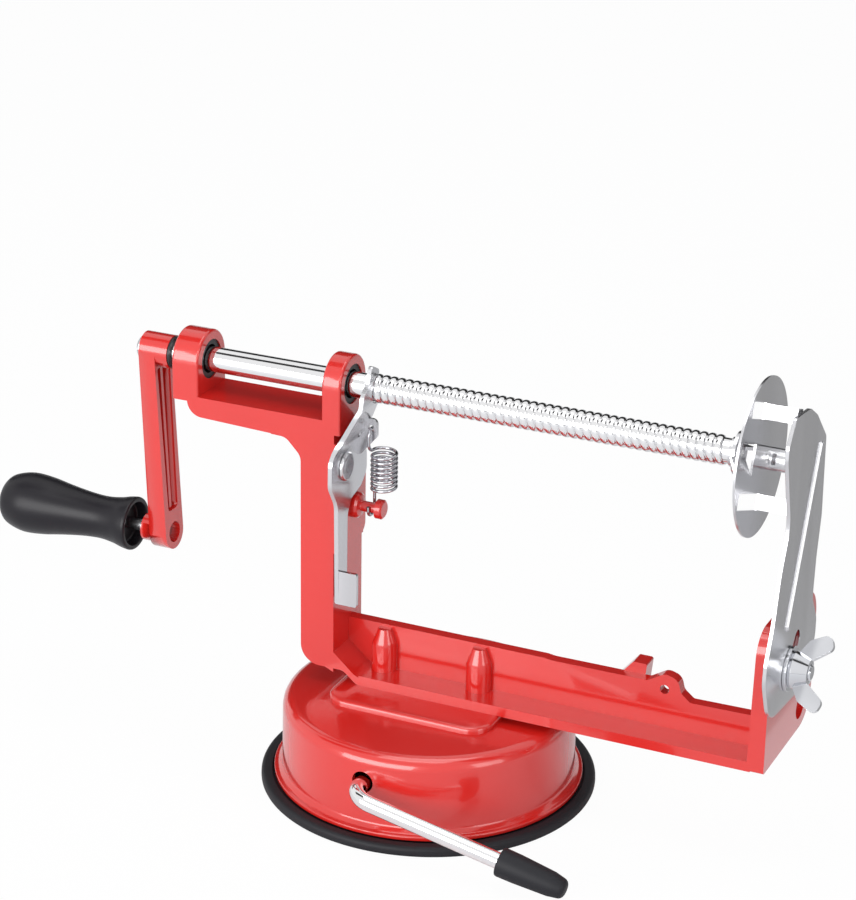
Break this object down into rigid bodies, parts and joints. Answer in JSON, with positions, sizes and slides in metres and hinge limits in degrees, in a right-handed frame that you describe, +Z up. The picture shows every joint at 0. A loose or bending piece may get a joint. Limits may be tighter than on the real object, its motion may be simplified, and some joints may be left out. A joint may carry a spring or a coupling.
{
  "type": "tornado potato cutter",
  "caption": "Hand cranked spiral potato cutter: threaded shaft on a cast frame, fork, round blade on a swing arm, thread release lever and a suction base with a lever.",
  "frame": {"origin": "centre of the suction pad's flat underside, on the table", "axes": "+X along the screw shaft from the crank to the blade, +Y away from the user, +Z up"},
  "size_m": [0.3326, 0.1323, 0.179],
  "materials": {
    "red_enamel": "glossy red powder coat on cast metal",
    "black_nylon": "black nylon",
    "black_rubber": "black rubber, satin",
    "black_grip": "smooth black moulded plastic",
    "chrome": "bright chrome plate",
    "stainless": "polished stainless sheet",
    "steel": "bright steel",
    "spring_steel": "bright spring wire",
    "zinc": "bright zinc plate"
  },
  "bodies": {
    "root": {"frame": "red_enamel", "rear_bush": "black_nylon", "front_bush": "black_nylon", "base_housing": "red_enamel", "suction_pad": "black_rubber", "frame_screw_left": "steel", "frame_screw_right": "steel", "release_lever_rivet": "steel", "arm_bolt": "zinc"},
    "shaft_feed": {"stop_washer": "black_nylon"},
    "crank_and_shaft": {"screw_shaft": "chrome", "potato_fork": "stainless", "crank_arm": "red_enamel", "crank_screw": "steel", "handle_pin": "steel"},
    "grip": {"handle_grip": "black_grip"},
    "thread_lever": {"release_lever": "stainless", "release_spring": "spring_steel"},
    "vacuum_lever": {"suction_lever": "chrome", "suction_lever_tip": "black_rubber", "suction_lever_clip": "steel"},
    "lifting_stud": {"pad_stud": "steel"},
    "blade_group": {"blade_arm": "stainless", "blade_disc": "stainless", "core_tube": "stainless"},
    "clamp_washer": {"arm_washer": "zinc"},
    "clamp_nut": {"wing_nut": "zinc"}
  },
  "joints": [
    {"name": "shaft_feed", "type": "slide", "parent": "root", "child": "shaft_feed", "axis": [1, 0, 0], "range_m": [-0.12, 0]},
    {"name": "crank_turn", "type": "hinge", "parent": "shaft_feed", "child": "crank_and_shaft", "pos_m": [0, 0, 0.151], "axis": [1, 0, 0], "range_deg": [-14400, 0]},
    {"name": "grip_spin", "type": "hinge", "parent": "crank_and_shaft", "child": "grip", "pos_m": [-0.15, 0, 0.0783], "axis": [1, 0, 0], "continuous": true},
    {"name": "release_lever_tilt", "type": "hinge", "parent": "root", "child": "thread_lever", "pos_m": [-0.0327, -0.0065, 0.1215], "axis": [1, 0, 0], "range_deg": [0, 8.6], "stiffness_Nm_per_rad": 0.4, "springref_deg": -11.46, "deforming": ["release_spring"]},
    {"name": "suction_lever_turn", "type": "hinge", "parent": "root", "child": "vacuum_lever", "pos_m": [-0.0015, 0, 0.0225], "axis": [0, -1, 0], "range_deg": [0, 155]},
    {"name": "pad_lift", "type": "slide", "parent": "root", "child": "lifting_stud", "axis": [0, 0, 1], "range_m": [0, 0.0031]},
    {"name": "arm_swing", "type": "hinge", "parent": "root", "child": "blade_group", "pos_m": [0.1338, 0.0065, 0.071], "axis": [1, 0, 0], "range_deg": [0, 75]},
    {"name": "nut_travel", "type": "slide", "parent": "root", "child": "clamp_washer", "axis": [1, 0, 0], "range_m": [0, 0.002]},
    {"name": "nut_turn", "type": "hinge", "parent": "clamp_washer", "child": "clamp_nut", "pos_m": [0.138, 0.0065, 0.071], "axis": [1, 0, 0], "range_deg": [0, 720]}
  ],
  "couplings": [
    {"joint": "shaft_feed", "follows": "crank_turn", "m_per_rad": 0.00047746},
    {"joint": "pad_lift", "follows": "suction_lever_turn", "m_per_rad": 0.001127},
    {"joint": "nut_turn", "follows": "nut_travel", "rad_per_m": 6283.2}
  ]
}
